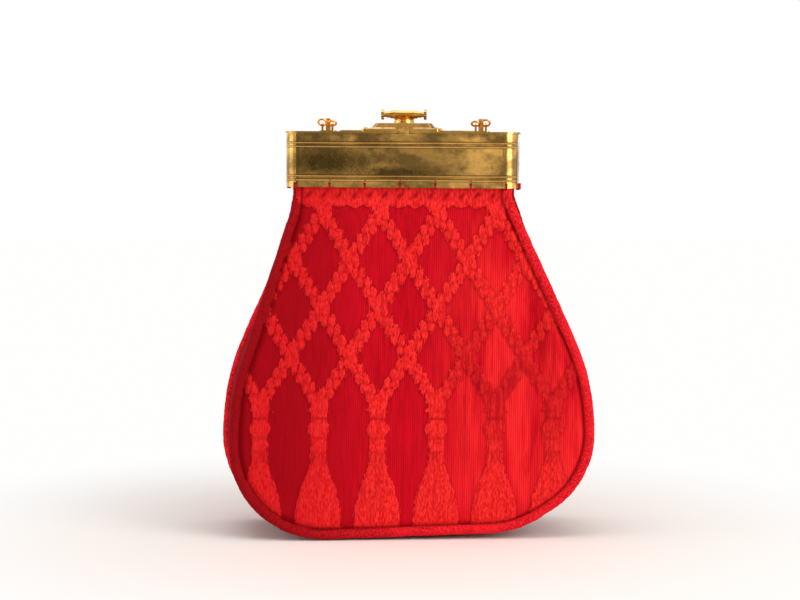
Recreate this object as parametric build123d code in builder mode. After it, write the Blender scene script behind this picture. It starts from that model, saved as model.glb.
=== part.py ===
import os
from math import atan2, cos, degrees, hypot, pi, radians, sin

from build123d import *

# Handbag of red velvet sewn into a brass box frame with a hinged lid and a turn lock.
# Millimetres, +Z up, the front faces -Y. The origin is on the floor, under the middle of the frame.

# Brass frame band
frame_width = 150.0
frame_depth = 52.0
frame_corner = 9.5
frame_wall = 1.2
frame_height = 34.5
frame_foot = 226.5
bead_rise = 0.35
bead_half_height = 0.55
bead_heights = [4.8, 7.4, 26.2, 28.7]
stitch_count = 17
stitch_radius = 0.95
stitch_height = 2.3
thread_radius = 0.55
thread_gap = 0.15

# Lid plate
lid_gap = 0.3
lid_thickness = 1.2
lid_overhang = 0.7
rim_depth = 2.2
rim_wall = 0.9
rim_clearance = 0.5

# Velvet body: half widths are to the middle of the cloth, heights are above the floor
neck_side_gap = 4.3
neck_front_gap = 1.6
neck_top = 236.0
shoulder_out = 2.0
shoulder_height = 212.0
belly_out = 46.8
belly_height = 97.3
hip_height = 38.0
foot_in = 48.3
body_depth_low = 74.0
body_skew = 8.0
neck_drop = 1.5
shoulder_round = 25.0
shoulder_skew = 0.4
belly_round = 155.0
hip_round = 48.0
foot_round = 70.0
panel_thickness = 1.6
seam_gap = 0.1
piping_radius = 3.5
piping_top = 223.5
gusset_thickness = 1.6
gusset_bulge = 4.0
gusset_flat = 34.0
gusset_neck_gap = 1.3
gusset_base_sink = 0.2
swell_rise = 9.0
swell_half_width = 104.0
swell_half_height = 89.0
swell_height = 98.0

# Pile pattern of the velvet
pile_height = 1.0
rope_width = 6.6
trellis_pitch = 37.3
trellis_half_row = 31.0
trellis_foot = 86.8
trellis_rows = 4
trellis_shift = -12.3
border_width = 11.0
border_height = 217.5
tassel_ball = 5.8
tassel_small_ball = 3.7
tassel_neck = 9.0
tassel_hem = 29.0
tassel_length = 44.0
pattern_margin = 1.0

# Lining and base board
lining_thickness = 0.8
lining_gap = 0.4
board_length = 86.0
board_depth = 30.0
board_thickness = 1.5

# Rear hinge
hinge_length = 90.0
knuckle_count = 5
knuckle_radius = 2.0
knuckle_gap = 0.3
hinge_pin_radius = 0.8
pin_clearance = 0.05
pin_head_radius = 1.3
leaf_thickness = 0.8
leaf_width = 8.0
hinge_clearance = 0.2

# Clasp on the lid
clasp_length = 50.0
clasp_leaf_gap = 1.3
clasp_thickness = 2.8
clasp_edge = 1.6
clasp_slope = 76.0
clasp_lip = 0.6
clasp_lip_drop = 0.9
clasp_corner = 2.0
arch_width = 9.0
arch_height = 2.6
arch_shift = 2.6
arch_depth = 4.4
hood_height = 0.5
rivet_radius = 1.4
rivet_clearance = 0.05
rivet_rise = 0.6
rivet_dome = 0.5
rivet_taper = 35.0
rivet_inset_x = 2.3
rivet_inset_y = 5.15
housing_length = 40.2
housing_top_length = 35.8
housing_depth = 20.0
housing_top_depth = 16.0
housing_height = 2.8

# Turn lock
spindle_radius = 2.0
spindle_clearance = 0.06
saddle_gap = 0.25
saddle_radius = 6.7
saddle_waist = 6.4
saddle_bulge = 6.7
saddle_flare = 8.2
saddle_height = 4.2
saddle_foot = 0.75
saddle_bulge_height = 2.9
bar_height = 5.4
bar_length = 29.4
bar_middle = 2.55
bar_middle_half = 5.3
bar_collar = 2.75
bar_collar_width = 1.6
bar_shoulder = 2.4
bar_shoulder_half = 9.0
bar_taper = 1.95
bar_taper_half = 11.6
bar_neck = 1.6
bar_disc = 3.35
bar_disc_width = 1.5
finger_reach = 22.3
finger_width = 4.0
finger_thickness = 1.2
nut_size = 7.0
nut_thickness = 2.4
shelf_gap = 0.4

# Catch on the frame's front wall
catch_width = 12.0
catch_thickness = 1.0
catch_drop = 13.0
shelf_reach = 3.0
shelf_thickness = 1.0
tongue_width = 6.0
tongue_rise = 3.4
catch_clearance = 0.6

# Ring brackets and rings
bracket_inset = 24.7
bracket_length = 11.0
bracket_depth = 9.0
bracket_thickness = 0.8
post_width = 3.4
post_depth = 1.6
post_setback = 2.2
post_height = 8.6
eye_spacing = 6.6
eye_height = 4.0
eye_outer = 1.9
eye_hole = 1.05
eye_thickness = 1.2
ring_radius = 2.6
ring_wire = 0.65
inner_ring_lean = 34.0
outer_ring_lean = 50.0

frame_top = frame_foot + frame_height
lid_bottom = frame_top + lid_gap
lid_top = lid_bottom + lid_thickness
clasp_top = lid_top + clasp_thickness
housing_top = clasp_top + housing_height
saddle_bottom = housing_top + saddle_gap
bar_axis = saddle_bottom + bar_height
neck_foot = frame_foot - neck_drop
inner_half_width = frame_width / 2 - frame_wall
inner_half_depth = frame_depth / 2 - frame_wall
rim_bottom = lid_bottom - rim_depth
shelf_bottom = rim_bottom - shelf_gap - shelf_thickness
finger_top = shelf_bottom - shelf_gap
finger_bottom = finger_top - finger_thickness
spindle_bottom = finger_bottom - nut_thickness
lid_half_depth = frame_depth / 2 + lid_overhang
hinge_axis_y = lid_half_depth + hinge_clearance + knuckle_radius
hinge_axis_z = lid_bottom + lid_thickness / 2
body_depth_neck = 2 * (inner_half_depth - neck_front_gap)
neck_half = inner_half_width - neck_side_gap
shoulder_half = neck_half + shoulder_out
belly_half = neck_half + belly_out
foot_half = belly_half - foot_in
gusset_neck_half = inner_half_width - gusset_neck_gap
lean = atan2((body_depth_low - body_depth_neck) / 2, frame_foot)
leaf_top = lid_bottom - hinge_clearance
eye_axis = lid_top + eye_height

os.makedirs("parts", exist_ok=True)


def save(piece, name):
    piece.part.label = name
    export_step(piece.part, f"parts/{name}.step")


# Velvet body: outlines of the seams, as bell shapes on leaning planes

def bag_corners(neck, shoulder, belly, skew, foot, inset, top):
    """Corner points of one bell outline, from the left end of the neck round to the right end."""
    side = [
        (neck, top, 0.0),
        (neck, neck_foot, 0.0),
        (shoulder, shoulder_height, shoulder_skew * skew),
        (belly, belly_height, skew),
        (belly, hip_height, skew),
        (foot_half, foot, skew),
    ]
    left = [(-x + shift, z) for x, z, shift in side]
    right = [(x + shift, z) for x, z, shift in reversed(side)]
    return inset_path(left + right, inset)


def piping_corners(side):
    """Corner points of the piping: the seam's outline, cut off at the piping's top ends."""
    corners = seam_points(side)[1:-1]
    share = (neck_foot - piping_top) / (neck_foot - shoulder_height)
    ends = []
    for (neck_x, neck_z), (shoulder_x, shoulder_z) in (corners[:2], corners[:-3:-1]):
        ends.append((neck_x + share * (shoulder_x - neck_x), neck_z + share * (shoulder_z - neck_z)))
    return [ends[0]] + corners[1:-1] + [ends[1]]


def inset_path(points, distance):
    """Move each run of an open path inward by a distance and meet the runs again at the corners."""
    lines = []
    for (x1, z1), (x2, z2) in zip(points, points[1:]):
        length = hypot(x2 - x1, z2 - z1)
        nx, nz = -(z2 - z1) / length, (x2 - x1) / length
        lines.append((x1 + nx * distance, z1 + nz * distance, x2 - x1, z2 - z1))
    first = lines[0]
    last = lines[-1]
    moved = [(first[0], first[1])]
    for (ax, az, adx, adz), (bx, bz, bdx, bdz) in zip(lines, lines[1:]):
        along = ((bx - ax) * bdz - (bz - az) * bdx) / (adx * bdz - adz * bdx)
        moved.append((ax + adx * along, az + adz * along))
    moved.append((last[0] + last[2], last[1] + last[3]))
    return moved


def bag_radii(inset):
    one_side = [0.0, shoulder_round + inset, belly_round - inset, hip_round - inset, foot_round - inset]
    return one_side + one_side[::-1]


def seam_plane(side, inward=0.0):
    """Leaning plane of the front (side -1) or back (side +1) seam, moved inward along its normal."""
    y = side * (body_depth_low / 2 - inward / cos(lean))
    return Plane(origin=(0, y, 0), x_dir=(1, 0, 0), z_dir=(0, -cos(lean), -side * sin(lean)))


def seam_points(side, inset=0.0, top=neck_top):
    skew = -side * body_skew
    foot = piping_radius / cos(lean)
    return bag_corners(neck_half, shoulder_half, belly_half, skew, foot, inset, top)


def middle_points(side, inset=0.0, top=neck_top):
    share = gusset_flat / body_depth_low
    skew = -side * body_skew * share
    belly = belly_half + gusset_bulge
    shoulder = shoulder_half + (gusset_neck_half - neck_half)
    foot = gusset_thickness / 2 - gusset_base_sink
    return bag_corners(gusset_neck_half, shoulder, belly, skew, foot, inset, top)


def closed_outline(plane, points, inset):
    with BuildSketch(plane) as outline:
        with BuildLine() as edge:
            bottom = FilletPolyline(*points, radius=bag_radii(inset))
            Line(bottom @ 1, bottom @ 0)
        make_face()
    return outline


def bag_volume(inset, inward, top):
    """Closed body between the two seam planes, ruled over four bell outlines."""
    middle_y = gusset_flat / 2
    sections = [
        closed_outline(seam_plane(-1, inward), seam_points(-1, inset, top), inset),
        closed_outline(Plane.XZ.offset(middle_y), middle_points(-1, inset, top), inset),
        closed_outline(Plane.XZ.offset(-middle_y), middle_points(1, inset, top), inset),
        closed_outline(seam_plane(1, inward), seam_points(1, inset, top), inset),
    ]
    with BuildPart() as volume:
        loft(sections=[section.sketch for section in sections], ruled=True)
    return volume


def pile_pattern(plane, shift):
    """Raised pile: rope border, diamond trellis and tassels, kept inside the piped outline."""
    rope_slope = degrees(atan2(trellis_half_row, trellis_pitch / 2))
    rope_top = trellis_foot + trellis_rows * trellis_half_row
    middle_height = (trellis_foot + rope_top) / 2
    rope_length = trellis_rows * hypot(trellis_half_row, trellis_pitch / 2) + rope_width
    knots = [shift + number * trellis_pitch for number in range(-3, 5)]
    run = trellis_rows * trellis_pitch / 4
    ball_height = trellis_foot - rope_width - tassel_ball
    small_height = ball_height - tassel_ball - tassel_small_ball + pattern_margin
    skirt_top = small_height - tassel_small_ball + pattern_margin
    skirt_slope = degrees(atan2(tassel_length, (tassel_hem - tassel_neck) / 2))
    with BuildSketch(plane) as pattern:
        with Locations((0, border_height)):
            Rectangle(2 * belly_half, border_width)
        for way in (-1, 1):
            with Locations(*[Location((x + way * run, middle_height, 0), (0, 0, way * rope_slope)) for x in knots]):
                Rectangle(rope_length, rope_width)
        with Locations(*[(x, trellis_foot - rope_width / 2) for x in knots]):
            Rectangle(tassel_neck, 2 * rope_width)
        with Locations(*[(x, ball_height) for x in knots]):
            Circle(tassel_ball)
        with Locations(*[(x, small_height) for x in knots]):
            Circle(tassel_small_ball)
        with Locations(*[(x, skirt_top - tassel_length / 2) for x in knots]):
            Trapezoid(tassel_hem, tassel_length, skirt_slope)
    return pattern


def swell_dome(side, level):
    """Low oval dome of the stuffed cloth, standing outward on a plane parallel to the seam's."""
    radius = (swell_half_width ** 2 + swell_rise ** 2) / (2 * swell_rise)
    start = degrees(atan2(radius - swell_rise, swell_half_width))
    tip = {-1: 0, 1: 180}[side]
    place = Location((-side * body_skew, swell_height, -side * level), (tip, 0, 0))
    with BuildPart() as dome:
        with BuildSketch(Plane.XZ):
            with BuildLine():
                Line((0, 0), (swell_half_width, 0))
                CenterArc((0, swell_rise - radius), radius, start, 90 - start)
                Line((0, swell_rise), (0, 0))
            make_face()
        revolve(axis=Axis.Z)
        scale(by=(1, swell_half_height / swell_half_width, 1))
    return dome.part.moved(seam_plane(side).location * place)


def velvet_panel(side, shift):
    """One face of the bag: swollen cloth inside the piping, with the pile standing on its outer side."""
    edge = piping_radius + seam_gap
    pile_edge = edge + pattern_margin
    cloth = closed_outline(seam_plane(side), seam_points(side, edge), edge)
    trim = closed_outline(seam_plane(side), seam_points(side, pile_edge, frame_foot), pile_edge)
    pattern = pile_pattern(seam_plane(side), shift)
    outward = -side
    cloth_face = panel_thickness / 2
    pile_face = cloth_face + pile_height
    with BuildSketch(seam_plane(side)) as pile:
        add(trim.sketch_local)
        add(pattern.sketch_local, mode=Mode.INTERSECT)
    with BuildPart() as pile_limit:
        extrude(trim.sketch, amount=outward * pile_face)
        add(swell_dome(side, pile_face))
    with BuildPart() as panel:
        extrude(pile.sketch, amount=outward * (pile_face + swell_rise))
        add(pile_limit.part, mode=Mode.INTERSECT)
        extrude(cloth.sketch, amount=cloth_face, both=True)
        add(swell_dome(side, cloth_face))
        add(swell_dome(side, -cloth_face), mode=Mode.SUBTRACT)
    return panel


front_panel = velvet_panel(-1, trellis_shift)
save(front_panel, "front_panel")

back_panel = velvet_panel(1, -trellis_shift)
save(back_panel, "back_panel")


def piping(side):
    """Covered cord sewn into the seam, from one end of the neck round to the other."""
    with BuildPart() as cord:
        with BuildLine(seam_plane(side)) as path:
            FilletPolyline(*piping_corners(side), radius=bag_radii(0.0)[1:-1])
        with BuildSketch(Plane(origin=path.line @ 0, z_dir=path.line % 0)):
            Circle(piping_radius)
        sweep()
    return cord


front_piping = piping(-1)
save(front_piping, "front_piping")

back_piping = piping(1)
save(back_piping, "back_piping")

# Gusset: the strip between the two piped seams, down one side, under the bag and up the other
with BuildPart() as gusset:
    add(bag_volume(-gusset_thickness / 2, piping_radius, neck_top).part)
    inside = bag_volume(gusset_thickness / 2, piping_radius - pattern_margin, neck_top + gusset_thickness)
    add(inside.part, mode=Mode.SUBTRACT)
    split(bisect_by=Plane.XY, keep=Keep.TOP)
save(gusset, "gusset")

# Lining: a thin open bag inside the velvet
lining_outside = gusset_thickness / 2 + board_thickness + 2 * lining_gap
lining_inward = piping_radius + lining_gap
with BuildPart() as lining:
    add(bag_volume(lining_outside, lining_inward, neck_top - lining_outside).part)
    inside = bag_volume(lining_outside + lining_thickness, lining_inward + lining_thickness, neck_top)
    add(inside.part, mode=Mode.SUBTRACT)
save(lining, "lining")

# Base board: stiff card under the lining
with BuildPart() as base_board:
    with BuildSketch(Plane.XY.offset(gusset_thickness + lining_gap)):
        RectangleRounded(board_length, board_depth, board_depth / 8)
    extrude(amount=board_thickness)
save(base_board, "base_board")

# Frame band: rounded rectangular tube with pairs of raised beads and stitch holes

def perimeter_place(distance):
    """Point and outward angle on the band's outside, measured along it from the middle of the front."""
    flat_x = frame_width / 2 - frame_corner
    flat_y = frame_depth / 2 - frame_corner
    quarter = frame_corner * pi / 2
    runs = [(0, flat_x), (1, quarter), (2, 2 * flat_y), (3, quarter), (4, 2 * flat_x)]
    runs += [(5, quarter), (6, 2 * flat_y), (7, quarter), (8, flat_x)]
    rest = distance
    for index, length in runs:
        if rest <= length:
            break
        rest -= length
    turn = rest / frame_corner
    if index in (1, 3, 5, 7):
        start = {1: -pi / 2, 3: 0.0, 5: pi / 2, 7: pi}[index]
        angle = start + turn
        corner_x = flat_x if index in (1, 3) else -flat_x
        corner_y = -flat_y if index in (1, 7) else flat_y
        return corner_x + frame_corner * cos(angle), corner_y + frame_corner * sin(angle), degrees(angle)
    places = {
        0: (rest, -frame_depth / 2, -90),
        2: (frame_width / 2, rest - flat_y, 0),
        4: (flat_x - rest, frame_depth / 2, 90),
        6: (-frame_width / 2, flat_y - rest, 180),
        8: (rest - flat_x, -frame_depth / 2, -90),
    }
    return places[index]


perimeter = 2 * (frame_width + frame_depth) - 8 * frame_corner + 2 * pi * frame_corner
stitch_places = [perimeter_place(number * perimeter / stitch_count) for number in range(stitch_count)]

bead_slope = degrees(atan2(bead_rise, bead_half_height))
with BuildPart() as frame_band:
    with BuildSketch(Plane.XY.offset(frame_foot)):
        RectangleRounded(frame_width, frame_depth, frame_corner)
    extrude(amount=frame_height)
    for height in bead_heights:
        for way in (-1, 1):
            with BuildSketch(Plane.XY.offset(frame_foot + height)):
                RectangleRounded(
                    frame_width + 2 * bead_rise, frame_depth + 2 * bead_rise, frame_corner + bead_rise
                )
            extrude(amount=way * bead_half_height, taper=bead_slope)
    with BuildSketch(Plane.XY.offset(frame_foot)):
        RectangleRounded(2 * inner_half_width, 2 * inner_half_depth, frame_corner - frame_wall)
    extrude(amount=frame_height, mode=Mode.SUBTRACT)
    with BuildSketch(Plane.XY.offset(leaf_top - leaf_width - hinge_clearance)):
        with Locations((0, frame_depth / 2 + bead_rise / 2)):
            Rectangle(hinge_length + 2 * hinge_clearance, bead_rise)
    extrude(amount=leaf_width + hinge_clearance, mode=Mode.SUBTRACT)
    for x, y, angle in stitch_places:
        toward = (cos(radians(angle)), sin(radians(angle)), 0)
        with BuildSketch(Plane(origin=(x, y, frame_foot + stitch_height), z_dir=toward)):
            Circle(stitch_radius)
        extrude(amount=2 * frame_wall, both=True, mode=Mode.SUBTRACT)
save(frame_band, "frame_band")

# Catch: bent plate on the inside of the front wall, with a tongue above and a shelf for the latch
catch_face = -inner_half_depth + catch_thickness
with BuildPart() as catch:
    with BuildSketch(Plane.XZ.offset(-catch_face)):
        with Locations((arch_shift, frame_top - catch_drop / 2 - rim_depth / 2)):
            Rectangle(catch_width, catch_drop - rim_depth)
        with Locations((arch_shift, frame_top - catch_drop / 2 + tongue_rise / 2)):
            Rectangle(tongue_width, catch_drop + tongue_rise)
    extrude(amount=catch_thickness)
    with BuildSketch(Plane.XY.offset(shelf_bottom)):
        with Locations((arch_shift, catch_face + shelf_reach / 2 - catch_thickness / 2)):
            Rectangle(catch_width, shelf_reach + catch_thickness)
    extrude(amount=shelf_thickness)
save(catch, "catch")

# Rear hinge: knuckles on a leaf of the frame and on a leaf of the lid, on one pin
knuckle_length = (hinge_length - (knuckle_count - 1) * knuckle_gap) / knuckle_count


def knuckle_centre(number):
    return -hinge_length / 2 + knuckle_length / 2 + number * (knuckle_length + knuckle_gap)


def hinge_disc(x, radius):
    """Round section of the hinge's barrel or bore, seen along its axis."""
    with BuildSketch(Plane.YZ.offset(x)) as disc:
        with Locations((hinge_axis_y, hinge_axis_z)):
            Circle(radius)
    return disc.sketch


def knuckle(number):
    with BuildPart() as barrel:
        extrude(hinge_disc(knuckle_centre(number) - knuckle_length / 2, knuckle_radius), amount=knuckle_length)
    return barrel.part


frame_knuckles = range(0, knuckle_count, 2)
lid_knuckles = range(1, knuckle_count, 2)

with BuildPart() as hinge_frame_leaf:
    for number in frame_knuckles:
        add(knuckle(number))
    with BuildSketch(Plane.XY.offset(leaf_top - leaf_width)):
        with Locations((0, frame_depth / 2 + leaf_thickness / 2)):
            Rectangle(hinge_length, leaf_thickness)
    extrude(amount=leaf_width - knuckle_radius)
    for number in frame_knuckles:
        with BuildSketch(Plane.XY.offset(leaf_top - knuckle_radius)):
            with Locations((knuckle_centre(number), (frame_depth / 2 + hinge_axis_y) / 2)):
                Rectangle(knuckle_length, hinge_axis_y - frame_depth / 2)
        extrude(amount=knuckle_radius - leaf_thickness / 2)
    bore = hinge_disc(-hinge_length / 2, hinge_pin_radius + pin_clearance)
    extrude(bore, amount=hinge_length, mode=Mode.SUBTRACT)
save(hinge_frame_leaf, "hinge_frame_leaf")

with BuildPart() as hinge_lid_leaf:
    for number in lid_knuckles:
        add(knuckle(number))
    leaf_back = lid_half_depth - 2 * hinge_clearance
    with BuildSketch(Plane.XY.offset(lid_top)):
        with Locations((0, leaf_back - leaf_width / 2)):
            Rectangle(hinge_length, leaf_width)
        for number in lid_knuckles:
            with Locations((knuckle_centre(number), (leaf_back + hinge_axis_y) / 2)):
                Rectangle(knuckle_length, hinge_axis_y - leaf_back)
    extrude(amount=leaf_thickness)
    bore = hinge_disc(-hinge_length / 2, hinge_pin_radius + pin_clearance)
    extrude(bore, amount=hinge_length, mode=Mode.SUBTRACT)
save(hinge_lid_leaf, "hinge_lid_leaf")

with BuildPart() as hinge_pin:
    extrude(hinge_disc(-hinge_length / 2, hinge_pin_radius), amount=hinge_length)
    for head_x in (-hinge_length / 2 - leaf_thickness, hinge_length / 2):
        extrude(hinge_disc(head_x, pin_head_radius), amount=leaf_thickness)
save(hinge_pin, "hinge_pin")

# Lid plate: flat plate with an inner rim, notched for the catch
with BuildPart() as lid_plate:
    with BuildSketch(Plane.XY.offset(lid_bottom)):
        RectangleRounded(frame_width + 2 * lid_overhang, 2 * lid_half_depth, frame_corner + lid_overhang)
    extrude(amount=lid_thickness)
    rim_outer = 2 * (inner_half_width - rim_clearance)
    rim_outer_depth = 2 * (inner_half_depth - rim_clearance)
    rim_corner = frame_corner - frame_wall - rim_clearance
    with BuildSketch(Plane.XY.offset(rim_bottom)):
        RectangleRounded(rim_outer, rim_outer_depth, rim_corner)
        RectangleRounded(
            rim_outer - 2 * rim_wall, rim_outer_depth - 2 * rim_wall, rim_corner - rim_wall, mode=Mode.SUBTRACT
        )
    extrude(amount=rim_depth)
    with BuildSketch(Plane.XY.offset(rim_bottom)):
        with Locations((arch_shift, -inner_half_depth)):
            Rectangle(catch_width + 2 * catch_clearance, 2 * arch_depth)
    extrude(amount=rim_depth, mode=Mode.SUBTRACT)
    with BuildSketch(Plane.XY.offset(lid_bottom)):
        with Locations((arch_shift, -lid_half_depth + arch_depth / 2)):
            Rectangle(arch_width, arch_depth)
    extrude(amount=lid_thickness, mode=Mode.SUBTRACT)
    with BuildSketch(Plane.XY.offset(lid_bottom)):
        Circle(spindle_radius + spindle_clearance)
    extrude(amount=lid_thickness, mode=Mode.SUBTRACT)
save(lid_plate, "lid_plate")

# Clasp base: plate on the lid with a front lip over the lid's edge and a hooded arch for the tongue
clasp_front = -lid_half_depth - clasp_lip
clasp_back = leaf_back - leaf_width - clasp_leaf_gap
clasp_depth = clasp_back - clasp_front
clasp_middle_y = (clasp_back + clasp_front) / 2
rivet_spacing_x = clasp_length - 2 * rivet_inset_x
rivet_spacing_y = clasp_depth - 2 * rivet_inset_y
with BuildPart() as clasp_base:
    with BuildSketch(Plane.XY.offset(lid_top)):
        with Locations((0, clasp_middle_y)):
            RectangleRounded(clasp_length, clasp_depth, clasp_corner)
    extrude(amount=clasp_edge)
    with BuildSketch(Plane.XY.offset(lid_top + clasp_edge)):
        with Locations((0, clasp_middle_y)):
            Rectangle(clasp_length - 2 * clasp_corner, clasp_depth - 2 * clasp_corner)
    extrude(amount=clasp_thickness - clasp_edge, taper=clasp_slope)
    with BuildSketch(Plane.XY.offset(lid_top - clasp_lip_drop)):
        with Locations((0, clasp_front + clasp_lip / 2)):
            Rectangle(clasp_length - 2 * clasp_corner, clasp_lip)
    extrude(amount=clasp_lip_drop)
    with BuildSketch(Plane.XZ.offset(-clasp_front)):
        with Locations((arch_shift, lid_top + (clasp_thickness + hood_height) / 2)):
            Rectangle(arch_width + 4 * hood_height, clasp_thickness + hood_height)
    extrude(amount=-arch_depth)
    with BuildSketch(Plane.XZ.offset(-clasp_front + clasp_lip)):
        with Locations((arch_shift, lid_top)):
            Rectangle(arch_width, 2 * clasp_lip_drop)
        with Locations((arch_shift, lid_top)):
            Ellipse(arch_width / 2, arch_height)
    extrude(amount=-arch_depth - clasp_lip, mode=Mode.SUBTRACT)
    with BuildSketch(Plane.XY.offset(lid_top)):
        Circle(spindle_radius + spindle_clearance)
        with Locations((0, clasp_middle_y)):
            with GridLocations(rivet_spacing_x, rivet_spacing_y, 2, 2):
                Circle(rivet_radius + rivet_clearance)
    extrude(amount=clasp_thickness, mode=Mode.SUBTRACT)
save(clasp_base, "clasp_base")

# Four dome-headed rivets
with BuildPart() as rivets:
    with BuildSketch(Plane.XY.offset(lid_top)):
        with Locations((0, clasp_middle_y)):
            with GridLocations(rivet_spacing_x, rivet_spacing_y, 2, 2):
                Circle(rivet_radius)
    extrude(amount=clasp_edge + rivet_rise)
    with BuildSketch(Plane.XY.offset(lid_top + clasp_edge + rivet_rise)):
        with Locations((0, clasp_middle_y)):
            with GridLocations(rivet_spacing_x, rivet_spacing_y, 2, 2):
                Circle(rivet_radius)
    extrude(amount=rivet_dome, taper=rivet_taper)
save(rivets, "clasp_rivets")

# Clasp housing: tapered cover over the lock
with BuildPart() as clasp_housing:
    with BuildSketch(Plane.XY.offset(clasp_top)):
        RectangleRounded(housing_length, housing_depth, clasp_corner)
    with BuildSketch(Plane.XY.offset(housing_top)):
        RectangleRounded(housing_top_length, housing_top_depth, clasp_corner)
    loft()
    with BuildSketch(Plane.XY.offset(clasp_top)):
        Circle(spindle_radius + spindle_clearance)
    extrude(amount=housing_height, mode=Mode.SUBTRACT)
save(clasp_housing, "clasp_housing")

# Turn lock: flared saddle on a spindle, carrying a turned bar
with BuildPart() as turn_saddle:
    with BuildSketch(Plane.XZ):
        with BuildLine():
            Polyline(
                (0, saddle_bottom + saddle_height),
                (0, saddle_bottom),
                (saddle_radius, saddle_bottom),
                (saddle_radius, saddle_bottom + saddle_foot),
                (saddle_waist, saddle_bottom + saddle_foot),
            )
            ThreePointArc(
                (saddle_waist, saddle_bottom + saddle_foot),
                (saddle_bulge, saddle_bottom + saddle_bulge_height),
                (saddle_flare, saddle_bottom + saddle_height),
            )
            Line((saddle_flare, saddle_bottom + saddle_height), (0, saddle_bottom + saddle_height))
        make_face()
    revolve(axis=Axis.Z)
    with BuildSketch(Plane.YZ.offset(-saddle_flare)):
        with Locations((0, bar_axis)):
            Circle(bar_collar)
    extrude(amount=2 * saddle_flare, mode=Mode.SUBTRACT)
save(turn_saddle, "turn_saddle")

with BuildPart() as turn_bar:
    with BuildSketch(Plane.XZ):
        with BuildLine():
            Polyline(
                (0, bar_axis),
                (0, bar_axis + bar_middle),
                (bar_middle_half, bar_axis + bar_middle),
                (bar_middle_half, bar_axis + bar_collar),
                (bar_middle_half + bar_collar_width, bar_axis + bar_collar),
                (bar_middle_half + bar_collar_width, bar_axis + bar_middle),
                (bar_shoulder_half, bar_axis + bar_shoulder),
                (bar_shoulder_half, bar_axis + bar_taper),
                (bar_taper_half, bar_axis + bar_taper),
                (bar_taper_half, bar_axis + bar_neck),
                (bar_length / 2 - bar_disc_width, bar_axis + bar_neck),
                (bar_length / 2 - bar_disc_width, bar_axis + bar_disc),
                (bar_length / 2, bar_axis + bar_disc),
                (bar_length / 2, bar_axis),
                close=True,
            )
        make_face()
        mirror(about=Plane.YZ)
    revolve(axis=Axis((0, 0, bar_axis), (1, 0, 0)))
save(turn_bar, "turn_bar")

with BuildPart() as lock_spindle:
    with BuildSketch(Plane.XY.offset(spindle_bottom)):
        Circle(spindle_radius)
    extrude(amount=saddle_bottom - spindle_bottom)
save(lock_spindle, "lock_spindle")

with BuildPart() as latch_finger:
    with BuildSketch(Plane.XY.offset(finger_bottom)):
        Circle(nut_size / 2)
        with Locations((-finger_reach / 2, 0)):
            Rectangle(finger_reach, finger_width)
        Circle(spindle_radius + spindle_clearance / 2, mode=Mode.SUBTRACT)
    extrude(amount=finger_thickness)
save(latch_finger, "latch_finger")

with BuildPart() as spindle_nut:
    with BuildSketch(Plane.XY.offset(spindle_bottom)):
        RegularPolygon(nut_size / 2, 6)
        Circle(spindle_radius + spindle_clearance / 2, mode=Mode.SUBTRACT)
    extrude(amount=nut_thickness)
save(spindle_nut, "spindle_nut")

# Ring brackets: a strip on the lid with a post and two upright eyes, and a wire ring in each eye
bracket_reach = frame_width / 2 - bracket_inset


def eye_place(side, outer):
    """Middle of one eye, across the bag: the outer eye stands nearer to the lid's end."""
    way = 1 if outer else -1
    return side * (bracket_reach + way * eye_spacing / 2)


def ring_bracket(side):
    with BuildPart() as bracket:
        with BuildSketch(Plane.XY.offset(lid_top)):
            with Locations((side * bracket_reach, post_depth / 2)):
                RectangleRounded(bracket_length, bracket_depth, bracket_length / 6)
        extrude(amount=bracket_thickness)
        with BuildSketch(Plane.XY.offset(lid_top)):
            with Locations((side * bracket_reach, post_setback + post_depth / 2)):
                RectangleRounded(post_width, post_depth, post_depth / 4)
        extrude(amount=post_height)
        for outer in (False, True):
            with BuildSketch(Plane.YZ.offset(eye_place(side, outer) - eye_thickness / 2)):
                with Locations((0, eye_axis)):
                    Circle(eye_outer)
                with Locations((0, lid_top + eye_height / 2)):
                    Rectangle(2 * eye_outer, eye_height)
                with Locations((0, eye_axis)):
                    Circle(eye_hole, mode=Mode.SUBTRACT)
            extrude(amount=eye_thickness)
    return bracket


def handle_ring(side, outer):
    """Wire ring through an eye, leaning forward from it."""
    tilt = radians(outer_ring_lean if outer else inner_ring_lean)
    centre = (eye_place(side, outer), -ring_radius * cos(tilt), eye_axis + ring_radius * sin(tilt))
    across = (0, -sin(tilt), -cos(tilt))
    with BuildPart() as ring:
        with Locations(Plane(origin=centre, x_dir=(1, 0, 0), z_dir=across)):
            Torus(ring_radius, ring_wire)
    return ring


for side, side_name in ((-1, "left"), (1, "right")):
    bracket = ring_bracket(side)
    save(bracket, f"ring_bracket_{side_name}")
    for outer, place_name in ((False, "inner"), (True, "outer")):
        ring = handle_ring(side, outer)
        save(ring, f"handle_ring_{side_name}_{place_name}")

# Sewing thread: one short loop through each stitch hole and under the frame's edge
with BuildPart() as sewing_thread:
    for x, y, angle in stitch_places:
        toward = Vector(cos(radians(angle)), sin(radians(angle)), 0)
        face = Vector(x, y, 0)
        outside = face + toward * (thread_radius + thread_gap)
        within = face - toward * (frame_wall + thread_gap)
        high = Vector(0, 0, frame_foot + stitch_height)
        low = Vector(0, 0, frame_foot - thread_radius - thread_gap)
        with BuildLine():
            Polyline(within + high, outside + high, outside + low, within + low)
        with BuildSketch(Plane(origin=within + high, z_dir=toward)):
            Circle(thread_radius)
        sweep(transition=Transition.RIGHT)
save(sewing_thread, "sewing_thread")
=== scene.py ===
from math import atan2, ceil, cos, pi, radians, sin, tan

import bpy
import numpy as np
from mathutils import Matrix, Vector, noise
from mathutils.kdtree import KDTree


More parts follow.
